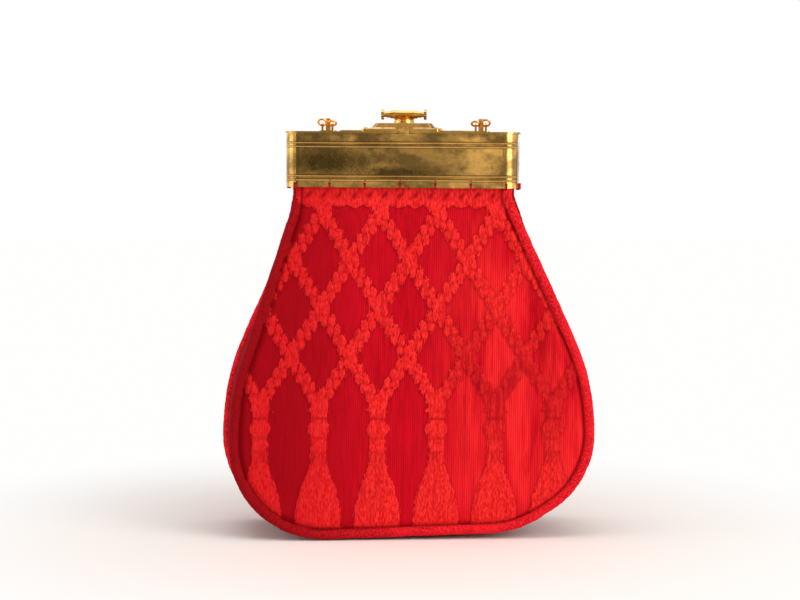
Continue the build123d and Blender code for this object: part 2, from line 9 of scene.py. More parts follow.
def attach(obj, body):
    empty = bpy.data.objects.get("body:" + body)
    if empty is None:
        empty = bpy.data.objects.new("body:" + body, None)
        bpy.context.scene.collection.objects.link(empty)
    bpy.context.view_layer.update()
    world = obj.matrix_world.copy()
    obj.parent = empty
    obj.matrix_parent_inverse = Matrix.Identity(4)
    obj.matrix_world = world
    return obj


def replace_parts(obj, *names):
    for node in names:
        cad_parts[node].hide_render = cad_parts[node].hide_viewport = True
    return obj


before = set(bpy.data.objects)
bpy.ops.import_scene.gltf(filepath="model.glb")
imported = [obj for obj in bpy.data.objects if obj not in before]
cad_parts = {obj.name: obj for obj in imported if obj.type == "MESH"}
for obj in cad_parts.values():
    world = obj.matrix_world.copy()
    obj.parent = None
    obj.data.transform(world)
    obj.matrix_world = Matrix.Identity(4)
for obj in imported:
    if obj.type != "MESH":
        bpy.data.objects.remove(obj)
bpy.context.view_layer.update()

# Viewpoint
# The bag is seen square on, from a little to its right and from just under the height of its lid,
# through a long lens, so that no top surface shows and the frame's right side just does.
view_turn = radians(5.2)
view_height = 0.250
view_distance = 1.30
view_lens = 89.1
view_roll = radians(0.35)
view_target = Vector((-0.0019, 0.0, 0.1522))
view_place = Vector((view_distance * sin(view_turn), -view_distance * cos(view_turn), view_height))
bpy.ops.object.select_all(action="DESELECT")
bpy.ops.object.camera_add(location=view_place)
camera = bpy.context.object
camera.rotation_euler = (view_target - view_place).to_track_quat("-Z", "Y").to_euler()
camera.rotation_euler.rotate_axis("Z", view_roll)
camera.data.lens = view_lens
camera.data.sensor_width = 36.0
camera.data.clip_start = 0.05
bpy.context.scene.camera = camera

# Studio
# A pale sweep of paper under the bag, a large soft lamp on each side, the right one stronger, and one
# overhead. Cards stand where the walls and ceiling of a room would be, for the brass alone to mirror.


def new_material(name):
    material = bpy.data.materials.new(name)
    material.use_nodes = True
    return material, material.node_tree.nodes, material.node_tree.links


def calculate(nodes, links, kind, first, second=None):
    step = nodes.new("ShaderNodeMath")
    step.operation = kind
    for socket, value in zip(step.inputs, (first, second)):
        if isinstance(value, bpy.types.NodeSocket):
            links.new(value, socket)
        elif value is not None:
            socket.default_value = value
    return step.outputs[0]


def map_range(nodes, links, value, low, high, to_low=0.0, to_high=1.0):
    mapped = nodes.new("ShaderNodeMapRange")
    links.new(value, mapped.inputs["Value"])
    mapped.inputs["From Min"].default_value = low
    mapped.inputs["From Max"].default_value = high
    mapped.inputs["To Min"].default_value = to_low
    mapped.inputs["To Max"].default_value = to_high
    return mapped.outputs["Result"]


def soft_lamp(name, place, size, power, colour):
    bpy.ops.object.light_add(type="AREA", location=place)
    lamp = bpy.context.object
    lamp.name = name
    lamp.rotation_euler = (lamp_aim - Vector(place)).to_track_quat("-Z", "Y").to_euler()
    lamp.data.shape = "RECTANGLE"
    lamp.data.size, lamp.data.size_y = size
    lamp.data.energy = power
    lamp.data.color = colour


lamp_aim = Vector((0.0, 0.0, 0.13))
side_lamp_size = (0.9, 1.1)
top_lamp_size = (1.2, 0.9)
soft_lamp("lamp_right", (1.15, -0.75, 0.75), side_lamp_size, 11.0, (1.0, 0.97, 0.93))
soft_lamp("lamp_left", (-1.25, -0.35, 0.60), side_lamp_size, 3.5, (1.0, 0.98, 0.96))
soft_lamp("lamp_top", (0.0, -0.25, 1.50), top_lamp_size, 8.0, (1.0, 0.99, 0.97))


def background_rays(nodes, links):
    """1 on the rays that show the white background: straight to the camera, off metal and through glass."""
    ray = nodes.new("ShaderNodeLightPath")
    seen = calculate(nodes, links, "MAXIMUM", ray.outputs["Is Camera Ray"], ray.outputs["Is Glossy Ray"])
    return calculate(nodes, links, "MAXIMUM", seen, ray.outputs["Is Transmission Ray"])


room_colour = (0.93, 0.94, 0.96, 1)
room_strength = 0.55
world = bpy.context.scene.world or bpy.data.worlds.new("studio")
bpy.context.scene.world = world
world.use_nodes = True
nodes, links = world.node_tree.nodes, world.node_tree.links
nodes.clear()
room_light = nodes.new("ShaderNodeBackground")
room_light.inputs["Color"].default_value = room_colour
room_light.inputs["Strength"].default_value = room_strength
white = nodes.new("ShaderNodeBackground")
white.inputs["Color"].default_value = (1, 1, 1, 1)
white.inputs["Strength"].default_value = 1.0
backdrop = nodes.new("ShaderNodeMixShader")
output = nodes.new("ShaderNodeOutputWorld")
links.new(background_rays(nodes, links), backdrop.inputs["Fac"])
links.new(room_light.outputs[0], backdrop.inputs[1])
links.new(white.outputs[0], backdrop.inputs[2])
links.new(backdrop.outputs[0], output.inputs["Surface"])

floor_size = 9.0
paper_colour = (0.93, 0.87, 0.82, 1)
glow_colour = (1, 0.995, 0.99, 1)
fade_start = 0.13
fade_end = 0.37
bpy.ops.mesh.primitive_plane_add(size=floor_size, location=(0, 0, 0))
floor = bpy.context.object
floor.name = "floor"
material, nodes, links = new_material("pale_paper")
paper = nodes["Principled BSDF"]
paper.inputs["Base Color"].default_value = paper_colour
paper.inputs["Roughness"].default_value = 0.9
paper.inputs["Specular IOR Level"].default_value = 0.1
glow = nodes.new("ShaderNodeEmission")
glow.inputs["Color"].default_value = glow_colour
position = nodes.new("ShaderNodeTexCoord")
away = nodes.new("ShaderNodeVectorMath")
away.operation = "LENGTH"
links.new(position.outputs["Object"], away.inputs[0])
fade = map_range(nodes, links, away.outputs["Value"], fade_start, fade_end)
fade.node.interpolation_type = "SMOOTHSTEP"
mixed = nodes.new("ShaderNodeMixShader")
links.new(calculate(nodes, links, "MULTIPLY", fade, background_rays(nodes, links)), mixed.inputs["Fac"])
links.new(paper.outputs[0], mixed.inputs[1])
links.new(glow.outputs[0], mixed.inputs[2])
links.new(mixed.outputs[0], nodes["Material Output"].inputs["Surface"])
floor.data.materials.append(material)


def room_card(name, place, lean, width, height, colour, dim, bright, grain):
    """A card that only the brass mirrors, with soft patches of light and shade, brighter to one side."""
    bpy.ops.mesh.primitive_plane_add(size=1, location=place, rotation=lean)
    card = bpy.context.object
    card.name = name
    card.scale = (width, height, 1.0)
    bpy.ops.object.transform_apply(location=True, rotation=True, scale=True)
    material, nodes, links = new_material(name)
    room = nodes.new("ShaderNodeEmission")
    room.inputs["Color"].default_value = colour
    position = nodes.new("ShaderNodeTexCoord")
    things = nodes.new("ShaderNodeTexNoise")
    things.inputs["Scale"].default_value = grain
    things.inputs["Detail"].default_value = 2.0
    axes = nodes.new("ShaderNodeSeparateXYZ")
    links.new(position.outputs["Object"], things.inputs["Vector"])
    links.new(position.outputs["Object"], axes.inputs[0])
    window = map_range(nodes, links, axes.outputs["X"], -0.36, 0.02, 0.5, 1.2)
    patches = map_range(nodes, links, things.outputs["Fac"], 0.40, 0.62, dim, bright)
    links.new(calculate(nodes, links, "MULTIPLY", window, patches), room.inputs["Strength"])
    links.new(room.outputs[0], nodes["Material Output"].inputs["Surface"])
    card.data.materials.append(material)
    card.visible_camera = False
    card.visible_diffuse = False
    card.visible_shadow = False


level = (0, 0, 0)
facing_front = (radians(90), 0, 0)
facing_side = (radians(90), 0, radians(90))
room_card("room_front", (0, -1.9, 0.45), facing_front, 2.6, 2.1, (0.95, 0.88, 0.76, 1), 0.08, 0.85, 7.0)
room_card("room_ceiling", (0, -1.1, 1.30), level, 2.6, 1.6, (0.95, 0.86, 0.72, 1), 0.30, 0.60, 3.0)
room_card("room_left", (-1.55, -0.75, 0.45), facing_side, 1.5, 1.3, (1.0, 0.90, 0.72, 1), 1.3, 2.1, 2.0)
room_card("room_right", (1.55, -0.95, 0.45), facing_side, 1.3, 1.3, (1.0, 0.95, 0.85, 1), 1.6, 2.2, 2.0)
room_card("room_back", (0.72, 1.3, 0.45), facing_front, 1.1, 1.6, (0.90, 0.50, 0.16, 1), 0.35, 0.60, 3.0)

# Bag form
# The velvet is sewn as two bell-shaped panels joined by a gusset along two piped seams, and stuffed, so it
# stands full. The form is both panels and the gusset in one mesh, in a coarse weave of square cells. It is
# blown up as cloth, held at the seams and in the frame, and the fine pieces below are cut from it.
mm = 0.001
neck_top = 236.0
left_neck = [(72.4, neck_top), (67.8, 226.0), (67.6, 219.0), (68.8, 209.0)]
right_neck = [(72.4, neck_top), (69.4, 226.0), (69.2, 220.0), (72.0, 212.0)]
left_belly = (112.0, 95.0)
left_hip = (114.0, 33.0)
left_foot = (76.0, 3.1)
right_belly = (117.5, 98.0)
right_hip = (117.0, 38.0)
right_foot = (69.0, 7.0)
neck_round = 2.0
shoulder_round = 25.0
belly_round = 150.0
hip_round = 56.0
foot_round = 62.0
body_depth = 74.0
neck_depth = 45.0
frame_foot = 226.5
seam_lean = (body_depth - neck_depth) / 2 / frame_foot
seam_skew = 3.0
belly_twist = radians(8.1)
foot_twist = radians(10.1)
twist_start = 110.0
foot_twist_start = 80.0
weld_gap = 0.01
side_cells = 58
foot_cells = 52
gusset_cells = 8
hip_split = 24.0


def smooth_step(value, low, high):
    share = np.clip((value - low) / (high - low), 0.0, 1.0)
    return share * share * (3.0 - 2.0 * share)


def rounded_path(corners, radii, spacing=0.5):
    """Points along a path of straight runs whose corners are rounded off."""
    points = [np.array(corners[0], float)]
    for before, corner, after, radius in zip(corners, corners[1:], corners[2:], radii):
        before, corner, after = (np.array(point, float) for point in (before, corner, after))
        way_in = (corner - before) / np.linalg.norm(corner - before)
        way_out = (after - corner) / np.linalg.norm(after - corner)
        turn = atan2(way_in[0] * way_out[1] - way_in[1] * way_out[0], way_in @ way_out)
        reach = radius * tan(abs(turn) / 2)
        start = corner - way_in * reach
        side = np.array((-way_in[1], way_in[0])) * (1 if turn > 0 else -1)
        centre = start + side * radius
        for step in np.linspace(0, turn, max(2, ceil(radius * abs(turn) / spacing))):
            spoke = start - centre
            points.append(centre + np.array((
                spoke[0] * cos(step) - spoke[1] * sin(step), spoke[0] * sin(step) + spoke[1] * cos(step))))
    points.append(np.array(corners[-1], float))
    return np.array(points)


def evenly(points, count):
    """The same path as a number of equal steps."""
    run = np.concatenate(([0.0], np.cumsum(np.linalg.norm(np.diff(points, axis=0), axis=1))))
    stops = np.linspace(0, run[-1], count + 1)
    return np.stack([np.interp(stops, run, points[:, axis]) for axis in range(points.shape[1])], axis=1)


def seam_outline(side):
    """The bell outline of one seam, from the neck's left end down and round to its right end."""
    skew = -side * seam_skew
    left = [(-x, z) for x, z in left_neck] + [(skew - x, z) for x, z in (left_belly, left_hip, left_foot)]
    right = right_neck + [(skew + x, z) for x, z in (right_belly, right_hip, right_foot)]
    corners = left + right[::-1]
    radii = [neck_round, neck_round, shoulder_round, belly_round, hip_round, foot_round]
    return rounded_path(corners, radii + radii[::-1])


def seam_sides(side):
    """The outline cut at both hips: left side going up, foot going right, right side going up, and neck."""
    outline = seam_outline(side)
    low = np.where(outline[:, 1] < hip_split)[0]
    left = evenly(outline[: low[0] + 1][::-1], side_cells)
    foot = evenly(outline[low[0]: low[-1] + 1], foot_cells)
    right = evenly(outline[low[-1]:], side_cells)
    neck = evenly(np.array([left[-1], right[-1]]), foot_cells)
    return left, foot, right, neck


def panel_points(side):
    """A net of points over one panel, fitted between its four sides, as rows from foot to neck."""
    left, foot, right, neck = seam_sides(side)
    u = np.linspace(0, 1, foot_cells + 1)[None, :, None]
    v = np.linspace(0, 1, side_cells + 1)[:, None, None]
    flat = (1 - v) * foot[None] + v * neck[None] + (1 - u) * left[:, None] + u * right[:, None]
    corner = (1 - u) * (1 - v) * foot[0] + u * (1 - v) * foot[-1] + (1 - u) * v * neck[0] + u * v * neck[-1]
    flat = flat - corner
    y = side * (body_depth / 2 - flat[..., 1] * seam_lean)
    return np.stack((flat[..., 0], y, flat[..., 1]), axis=-1)


def twisted(points):
    """Turn the lower body a little against the frame, as the soft bag stands."""
    z = points[..., 2]
    turn = belly_twist * (1 - smooth_step(z, twist_start, neck_top))
    turn += (foot_twist - belly_twist) * (1 - smooth_step(z, 0, foot_twist_start))
    x, y = points[..., 0].copy(), points[..., 1].copy()
    points[..., 0] = x * np.cos(turn) - y * np.sin(turn)
    points[..., 1] = x * np.sin(turn) + y * np.cos(turn)
    return points


def net_object(name, points):
    """A grid primitive whose corners are moved to the rows of points."""
    rows, columns = points.shape[:2]
    bpy.ops.object.select_all(action="DESELECT")
    bpy.ops.mesh.primitive_grid_add(x_subdivisions=columns - 1, y_subdivisions=rows - 1, size=1)
    net = bpy.context.object
    net.name = name
    net.data.vertices.foreach_set("co", (points.reshape(-1, 3) * mm).ravel())
    net.data.update()
    return net


def pick(*pieces):
    """Select these pieces and no others, with the first one active."""
    bpy.ops.object.select_all(action="DESELECT")
    for piece in pieces:
        piece.select_set(True)
    bpy.context.view_layer.objects.active = pieces[0]


def turn_outward(piece):
    points = mesh_points(piece)
    if ((points - points.mean(axis=0)) * mesh_normals(piece)).sum() < 0:
        piece.data.flip_normals()


def weld(piece, gap, close_ends=False):
    """Merge the points that lie together, close open ends if asked, and turn all faces outward."""
    pick(piece)
    bpy.ops.object.mode_set(mode="EDIT")
    bpy.ops.mesh.select_all(action="SELECT")
    bpy.ops.mesh.remove_doubles(threshold=gap * mm)
    if close_ends:
        bpy.ops.mesh.select_non_manifold()
        bpy.ops.mesh.edge_face_add()
    bpy.ops.mesh.select_all(action="SELECT")
    bpy.ops.mesh.normals_make_consistent(inside=False)
    bpy.ops.object.mode_set(mode="OBJECT")
    turn_outward(piece)


def joined(name, *nets):
    """One mesh of several nets that share their rims."""
    parts = [net_object(f"{name}_{number}", net) for number, net in enumerate(nets)]
    pick(*parts)
    bpy.ops.object.join()
    parts[0].name = name
    weld(parts[0], weld_gap)
    return parts[0]


def apply_modifier(piece, kind, **settings):
    pick(piece)
    modifier = piece.modifiers.new(kind.lower(), kind)
    for key, value in settings.items():
        setattr(modifier, key, value)
    bpy.ops.object.modifier_apply(modifier=modifier.name)


def mesh_points(piece):
    points = np.empty(len(piece.data.vertices) * 3)
    piece.data.vertices.foreach_get("co", points)
    return points.reshape(-1, 3) / mm


def mesh_normals(piece):
    normals = np.empty(len(piece.data.vertices) * 3)
    piece.data.vertices.foreach_get("normal", normals)
    return normals.reshape(-1, 3)


def move_mesh(piece, points):
    piece.data.vertices.foreach_set("co", (points * mm).ravel())
    piece.data.update()


def gusset_points():
    """The strip between the seams: rows run round the bag, columns across it from front to back."""
    rims = []
    for side in (-1, 1):
        left, foot, right, _ = seam_sides(side)
        rim = np.concatenate((left[::-1], foot[1:-1], right))
        y = side * (body_depth / 2 - rim[:, 1] * seam_lean)
        rims.append(np.stack((rim[:, 0], y, rim[:, 1]), axis=1))
    share = np.linspace(0, 1, gusset_cells + 1)[None, :, None]
    return rims[0][:, None] * (1 - share) + rims[1][:, None] * share


front_net = twisted(panel_points(-1))
back_net = twisted(panel_points(1))
gusset_net = twisted(gusset_points())
form = joined("bag_form", front_net, back_net, gusset_net)

# Blowing up: seams and neck are pinned, the rest swells, and no point goes further than the cap.
swell_cap = 8.5
swell_frames = 20
swell_pressure = 5.0
pinned_reach = 0.05
pinned_above = 220.0


def tree_of(points):
    tree = KDTree(len(points))
    for index, point in enumerate(points):
        tree.insert(Vector(point), index)
    tree.balance()
    return tree


seam_tree = tree_of(np.concatenate((gusset_net[:, 0], gusset_net[:, -1])))
flat_points = mesh_points(form)
to_seam = np.array([seam_tree.find(Vector(point))[2] for point in flat_points])
seam_pin = form.vertex_groups.new(name="seam_pin")
pinned = np.where((to_seam < pinned_reach) | (flat_points[:, 2] > pinned_above))[0]
seam_pin.add(pinned.tolist(), 1.0, "REPLACE")
cloth = form.modifiers.new("cloth", "CLOTH")
cloth.settings.quality = 6
cloth.settings.mass = 0.25
cloth.settings.tension_stiffness = 25
cloth.settings.compression_stiffness = 12
cloth.settings.shear_stiffness = 8
cloth.settings.bending_stiffness = 1.2
cloth.settings.vertex_group_mass = "seam_pin"
cloth.settings.use_pressure = True
cloth.settings.uniform_pressure_force = swell_pressure
cloth.settings.effector_weights.gravity = 0
cloth.collision_settings.use_collision = False
cloth.point_cache.frame_end = swell_frames
for number in range(1, swell_frames + 1):
    bpy.context.scene.frame_set(number)
pick(form)
bpy.ops.object.modifier_apply(modifier="cloth")
bpy.context.scene.frame_set(1)
moved = mesh_points(form) - flat_points
reach = np.maximum(np.linalg.norm(moved, axis=1), 1e-6)
moved *= (swell_cap * np.tanh(reach / swell_cap) / reach)[:, None]
move_mesh(form, flat_points + moved)

swollen = mesh_points(form)
form_tree = tree_of(flat_points)


def swollen_net(net):
    """The net of one piece after the swelling."""
    flat = net.reshape(-1, 3)
    found = [form_tree.find(Vector(point))[1] for point in flat]
    return swollen[found].reshape(net.shape)


front_net = swollen_net(front_net)
back_net = swollen_net(back_net)
gusset_net = swollen_net(gusset_net)
bpy.data.objects.remove(form)

# Velvet panels
# Front and back are cut from one figured velvet: a fine ribbed ground, with cut pile standing on it as a
# rope border under the frame, a trellis of crossed ropes, and a tassel hanging from each of its lower knots.
pile_rise = 1.25
pile_fall = (-0.7, 1.3)
gap_drop = 0.35
cloth_thickness = 0.9
tuft_row = 1.45
tuft_pitch = 7.2
tuft_half = 2.2
tuft_tall = 3.9
tuft_gap = 0.55
trellis_pitch = 37.4
trellis_row = 31.0
trellis_foot = 86.8
trellis_top = 211.0
trellis_shift = -12.6
border_low = 214.2
border_high = 229.0
border_pitch = 9.9
border_scallop = 0.9
dimple_height = 221.5
dimple_slant = 0.06
dimple_half = (1.5, 2.6)
knot_half = 4.9
knot_top = 92.0
ball_height = 71.6
ball_width = 7.0
ball_tall = 6.0
small_ball_height = 61.0
small_ball_radius = 4.3
skirt_low = 7.0
skirt_top = 50.0
band_top = 56.0
skirt_heights = [skirt_low, 17.4, 25.7, 34.0, 41.8, skirt_top, 55.5]
skirt_halves = [14.8, 14.5, 13.2, 11.0, 7.7, 5.2, 5.2]
strand_count = 7.5
tied_lines = [(56.6, 0.9, 0.35), (65.6, 1.0, 0.35), (78.4, 0.9, 0.7)]
fold_depth = 3.0
groove_place = 3.9
edge_roll = 1.6


def ragged(x, z, size, seed):
    """Even noise between -1 and 1 over the cloth, drawn out along the pile."""
    return np.array([noise.noise(Vector((a / size, seed, b / size / 1.8))) for a, b in zip(x, z)])


def rope_strand(x, z, way):
    """One family of crossed ropes, each two rows of oval tufts, turn about: depth inside, and creases."""
    tilt = atan2(trellis_pitch / 2, trellis_row)
    offset = x - trellis_shift - way * (z - trellis_foot) * tan(tilt)
    across = (offset - trellis_pitch * np.round(offset / trellis_pitch)) * cos(tilt)
    along = (z - trellis_foot) / cos(tilt) + way * across * tan(tilt)
    best = np.full(x.shape, -9.0)
    second = np.full(x.shape, -9.0)
    for row, start in ((-tuft_row, 0.0), (tuft_row, tuft_pitch / 2)):
        nearest = start + tuft_pitch * np.round((along - start) / tuft_pitch)
        for middle in (nearest - tuft_pitch, nearest, nearest + tuft_pitch):
            step_along = along - middle
            step_across = across - row
            sideways = step_across * cos(tilt) + way * step_along * sin(tilt)
            upward = step_along * cos(tilt) - way * step_across * sin(tilt)
            depth = tuft_half * (1 - np.hypot(sideways / tuft_half, upward / tuft_tall))
            second = np.where(depth > best, best, np.maximum(second, depth))
            best = np.maximum(best, depth)
    gap = np.exp(-((best - second) / tuft_gap) ** 2)
    inside = np.minimum(z - trellis_foot + 4, trellis_top + 6 - z)
    return np.minimum(best + 0.3, inside), 0.4 * gap


def tassel(x, z):
    """Knot, two balls, band and flared skirt under each lower knot of the trellis."""
    offset = x - trellis_shift
    across = offset - trellis_pitch * np.round(offset / trellis_pitch)
    ball = ball_width - np.hypot(across, (z - ball_height) * ball_width / ball_tall)
    small_ball = small_ball_radius - np.hypot(across * 0.85, z - small_ball_height)
    knot = knot_half + 0.8 * smooth_step(z, 80, 90) - np.abs(across)
    knot = np.minimum(knot, np.minimum(z - skirt_top, knot_top - z))
    half = np.interp(z, skirt_heights, skirt_halves)
    skirt = np.minimum(half - np.abs(across), np.minimum(z - skirt_low, band_top - z))
    depth = np.maximum.reduce([ball, small_ball, knot, skirt])
    strands = 0.5 + 0.5 * np.cos(2 * pi * strand_count * across / np.maximum(half, 1))
    gap = np.where(z < band_top, 0.25 * strands ** 3 + 0.35 * strands * (z > skirt_top), 0.0)
    tied = sum(deep * np.exp(-((z - height) / width) ** 2) for height, width, deep in tied_lines)
    return depth, np.maximum(gap, np.minimum(tied, 1.0))


def border(x, z):
    """Thick rope along the frame, scalloped below, with a slanting dimple in each turn."""
    turn = x / border_pitch
    depth = np.minimum(z - border_low + border_scallop * np.cos(2 * pi * turn), border_high - z)
    dimple = (turn - np.round(turn) - dimple_slant * (z - dimple_height)) * border_pitch
    gap = np.exp(-(dimple / dimple_half[0]) ** 2 - ((z - dimple_height) / dimple_half[1]) ** 2)
    return depth, gap


def pile_pattern(x, z):
    """How far inside the pile's edge each point lies, and how deep the gaps are there."""
    x = x + 0.5 * ragged(x, z, 7.0, 3.0)
    z = z + 0.6 * ragged(x, z, 8.0, 9.0)
    shapes = [rope_strand(x, z, 1), rope_strand(x, z, -1), tassel(x, z), border(x, z)]
    depth = np.full(x.shape, -9.0)
    gap = np.zeros(x.shape)
    for shape_depth, shape_gap in shapes:
        over = shape_depth > depth
        gap = np.where(over, shape_gap, gap)
        depth = np.maximum(depth, shape_depth)
    return depth, gap


def store(piece, name, values):
    attribute = piece.data.attributes.new(name, "FLOAT", "POINT")
    attribute.data.foreach_set("value", values.astype(np.float32))


def mix_colour(nodes, links, share, first, second):
    mix = nodes.new("ShaderNodeMix")
    mix.data_type = "RGBA"
    for socket, value in ((mix.inputs["Factor"], share), (mix.inputs["A"], first), (mix.inputs["B"], second)):
        if isinstance(value, bpy.types.NodeSocket):
            links.new(value, socket)
        else:
            socket.default_value = value
    return mix.outputs["Result"]


def stored(nodes, name):
    """The value that a piece's mesh carries under a name."""
    attribute = nodes.new("ShaderNodeAttribute")
    attribute.attribute_name = name
    return attribute.outputs["Fac"]


def object_noise(nodes, links, stretch, scale, detail=3.0, rough=0.5):
    """Noise on the piece's own coordinates, stretched along some axes."""
    position = nodes.new("ShaderNodeTexCoord")
    stretched = nodes.new("ShaderNodeMapping")
    stretched.inputs["Scale"].default_value = stretch
    grain = nodes.new("ShaderNodeTexNoise")
    grain.inputs["Scale"].default_value = scale
    grain.inputs["Detail"].default_value = detail
    grain.inputs["Roughness"].default_value = rough
    links.new(position.outputs["Object"], stretched.inputs["Vector"])
    links.new(stretched.outputs["Vector"], grain.inputs["Vector"])
    return grain.outputs["Fac"]


def raised(nodes, links, height, strength, distance, shader):
    """Fine relief of a height pattern on a shader."""
    bump = nodes.new("ShaderNodeBump")
    bump.inputs["Strength"].default_value = strength
    bump.inputs["Distance"].default_value = distance
    links.new(height, bump.inputs["Height"])
    links.new(bump.outputs["Normal"], shader.inputs["Normal"])


ground_dark = (0.46, 0.0011, 0.0075, 1)
ground_red = (0.66, 0.0030, 0.0150, 1)
ground_worn = (0.72, 0.0032, 0.017, 1)
# Painted sheen: the lighter red laid on the ground towards the lit side
ground_painted_sheen = (0.95, 0.022, 0.024, 1)
# Painted shade: the darker red laid on the ground towards the side away from the light
ground_side_shade = (0.26, 0.0004, 0.0035, 1)
# Painted shade: the dark red laid on the ground at the foot of the pile
ground_foot_shade = (0.26, 0.0004, 0.003, 1)
ground_rib = (0.30, 0.0006, 0.004, 1)
pile_dark = (0.70, 0.0070, 0.0100, 1)
pile_bright = (1.0, 0.036, 0.030, 1)
pile_streak = (0.50, 0.003, 0.009, 1)
# Painted shade: the darker red laid on the pile towards the side away from the light
pile_side_shade = (0.58, 0.0035, 0.0100, 1)
# Painted shade: the darker red laid on the pile of the ropes in the middle of the lit side
pile_shade_colour = (0.44, 0.0022, 0.0085, 1)
# Painted shade: the dark red laid in the gaps between tufts, tassel strands and tied bands
pile_gap_shade = (0.36, 0.0012, 0.0060, 1)
# Painted shade: the dark red laid in the groove beside the piped seam
seam_groove_shade = (0.16, 0.0003, 0.002, 1)
rib_scale = 224


def figured_velvet():
    material, nodes, links = new_material("figured_velvet")
    cloth = nodes["Principled BSDF"]
    edge = stored(nodes, "pile_edge")
    side_shade = stored(nodes, "side_shade")
    tufts = object_noise(nodes, links, (1, 1, 0.3), 1100, 2)
    bands = object_noise(nodes, links, (1, 1, 0.22), 62, 2)
    streaks = object_noise(nodes, links, (1, 1, 0.045), 520, 3, 0.65)
    patches = object_noise(nodes, links, (1, 1, 0.45), 26, 3)

    # Ground: streaked and worn, with a painted sheen towards one side, painted shade towards the other side and
    # painted shade at the pile's foot
    ground = mix_colour(nodes, links, map_range(nodes, links, streaks, 0.36, 0.66), ground_dark, ground_red)
    ground = mix_colour(nodes, links, map_range(nodes, links, patches, 0.4, 0.75, 0, 0.7), ground, ground_worn)
    # Painted sheen, streaked and banded, on the ground towards the lit side
    painted_sheen_share = calculate(nodes, links, "MULTIPLY", stored(nodes, "painted_sheen"),
                      map_range(nodes, links, streaks, 0.3, 0.6, 0.3, 1.0))
    painted_sheen_share = calculate(nodes, links, "MULTIPLY", painted_sheen_share, map_range(nodes, links, bands, 0.40, 0.58, 0.12, 1.15))
    ground = mix_colour(nodes, links, painted_sheen_share, ground, ground_painted_sheen)
    # Painted shade on the ground towards the side away from the light
    ground = mix_colour(nodes, links, calculate(nodes, links, "MULTIPLY", side_shade, 0.68), ground, ground_side_shade)
    # Painted shade on the ground in a thin band round the foot of the pile
    ground = mix_colour(nodes, links, map_range(nodes, links, edge, -1.3, -0.3, 0.0, 0.34), ground, ground_foot_shade)
    position = nodes.new("ShaderNodeTexCoord")
    ribs = nodes.new("ShaderNodeTexWave")
    ribs.wave_type = "BANDS"
    ribs.bands_direction = "X"
    ribs.inputs["Scale"].default_value = rib_scale
    ribs.inputs["Distortion"].default_value = 0.8
    links.new(position.outputs["Object"], ribs.inputs["Vector"])
    between = map_range(nodes, links, ribs.outputs["Fac"], 0.45, 0.0, 0.0, 0.45)
    ground = mix_colour(nodes, links, between, ground, ground_rib)

    # Pile: light at the tips of the tufts, with painted shade in the gaps, towards the side away from the light,
    # and on the ropes in the middle of the lit side
    pile_colour = mix_colour(nodes, links, map_range(nodes, links, tufts, 0.36, 0.62), pile_dark, pile_bright)
    pile_colour = mix_colour(nodes, links, map_range(nodes, links, streaks, 0.34, 0.50, 0.5, 0), pile_colour,
                             pile_streak)
    # Painted shade on the pile towards the side away from the light
    pile_colour = mix_colour(nodes, links, calculate(nodes, links, "MULTIPLY", side_shade, 0.5), pile_colour, pile_side_shade)
    # Painted shade on the pile of the ropes in the middle of the lit side
    pile_shade_share = calculate(nodes, links, "MULTIPLY", stored(nodes, "pile_shade"),
                        map_range(nodes, links, streaks, 0.30, 0.62, 0.9, 0.45))
    pile_colour = mix_colour(nodes, links, pile_shade_share, pile_colour, pile_shade_colour)
    # Painted shade in the gaps between tufts and strands and along the tied bands
    pile_colour = mix_colour(nodes, links, stored(nodes, "pile_gap_shade"), pile_colour, pile_gap_shade)
    fringe = map_range(nodes, links, tufts, 0.3, 0.7, -0.8, 0.8)
    pile = map_range(nodes, links, calculate(nodes, links, "ADD", edge, fringe), -0.3, 0.3)
    colour = mix_colour(nodes, links, pile, ground, pile_colour)
    shaded = calculate(nodes, links, "MULTIPLY", stored(nodes, "seam_shade"), 0.8)
    links.new(mix_colour(nodes, links, shaded, colour, seam_groove_shade), cloth.inputs["Base Color"])

    height = nodes.new("ShaderNodeMix")
    height.data_type = "FLOAT"
    links.new(pile, height.inputs["Factor"])
    links.new(calculate(nodes, links, "MULTIPLY", ribs.outputs["Fac"], 0.35), height.inputs["A"])
    links.new(map_range(nodes, links, tufts, 0.2, 0.8, 0.6, 2.2), height.inputs["B"])
    raised(nodes, links, height.outputs["Result"], 0.7, 0.0004, cloth)
    cloth.inputs["Roughness"].default_value = 0.75
    cloth.inputs["Specular IOR Level"].default_value = 0.04
    cloth.inputs["Sheen Weight"].default_value = 0.06
    cloth.inputs["Sheen Roughness"].default_value = 0.4
    cloth.inputs["Sheen Tint"].default_value = (1.0, 0.12, 0.12, 1)
    return material


def seam_distance(points, net):
    """How far each point lies from the seam round its panel."""
    tree = tree_of(evenly(np.concatenate((net[:, 0][::-1], net[0, 1:-1], net[:, -1])), 1500))
    return np.array([tree.find(Vector(point))[2] for point in points])


def crease(off_line, half, height, middle, full, faded):
    """A soft fold along a line, fading out above and below its middle."""
    return np.exp(-(off_line / half) ** 2) * (1 - smooth_step(np.abs(height - middle), full, faded))


def finish(piece, material):
    """Give a soft piece its only material, and sew it to the bag."""
    pick(piece)
    piece.data.materials.clear()
    piece.data.materials.append(material)
    bpy.ops.object.shade_smooth()
    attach(piece, "bag")


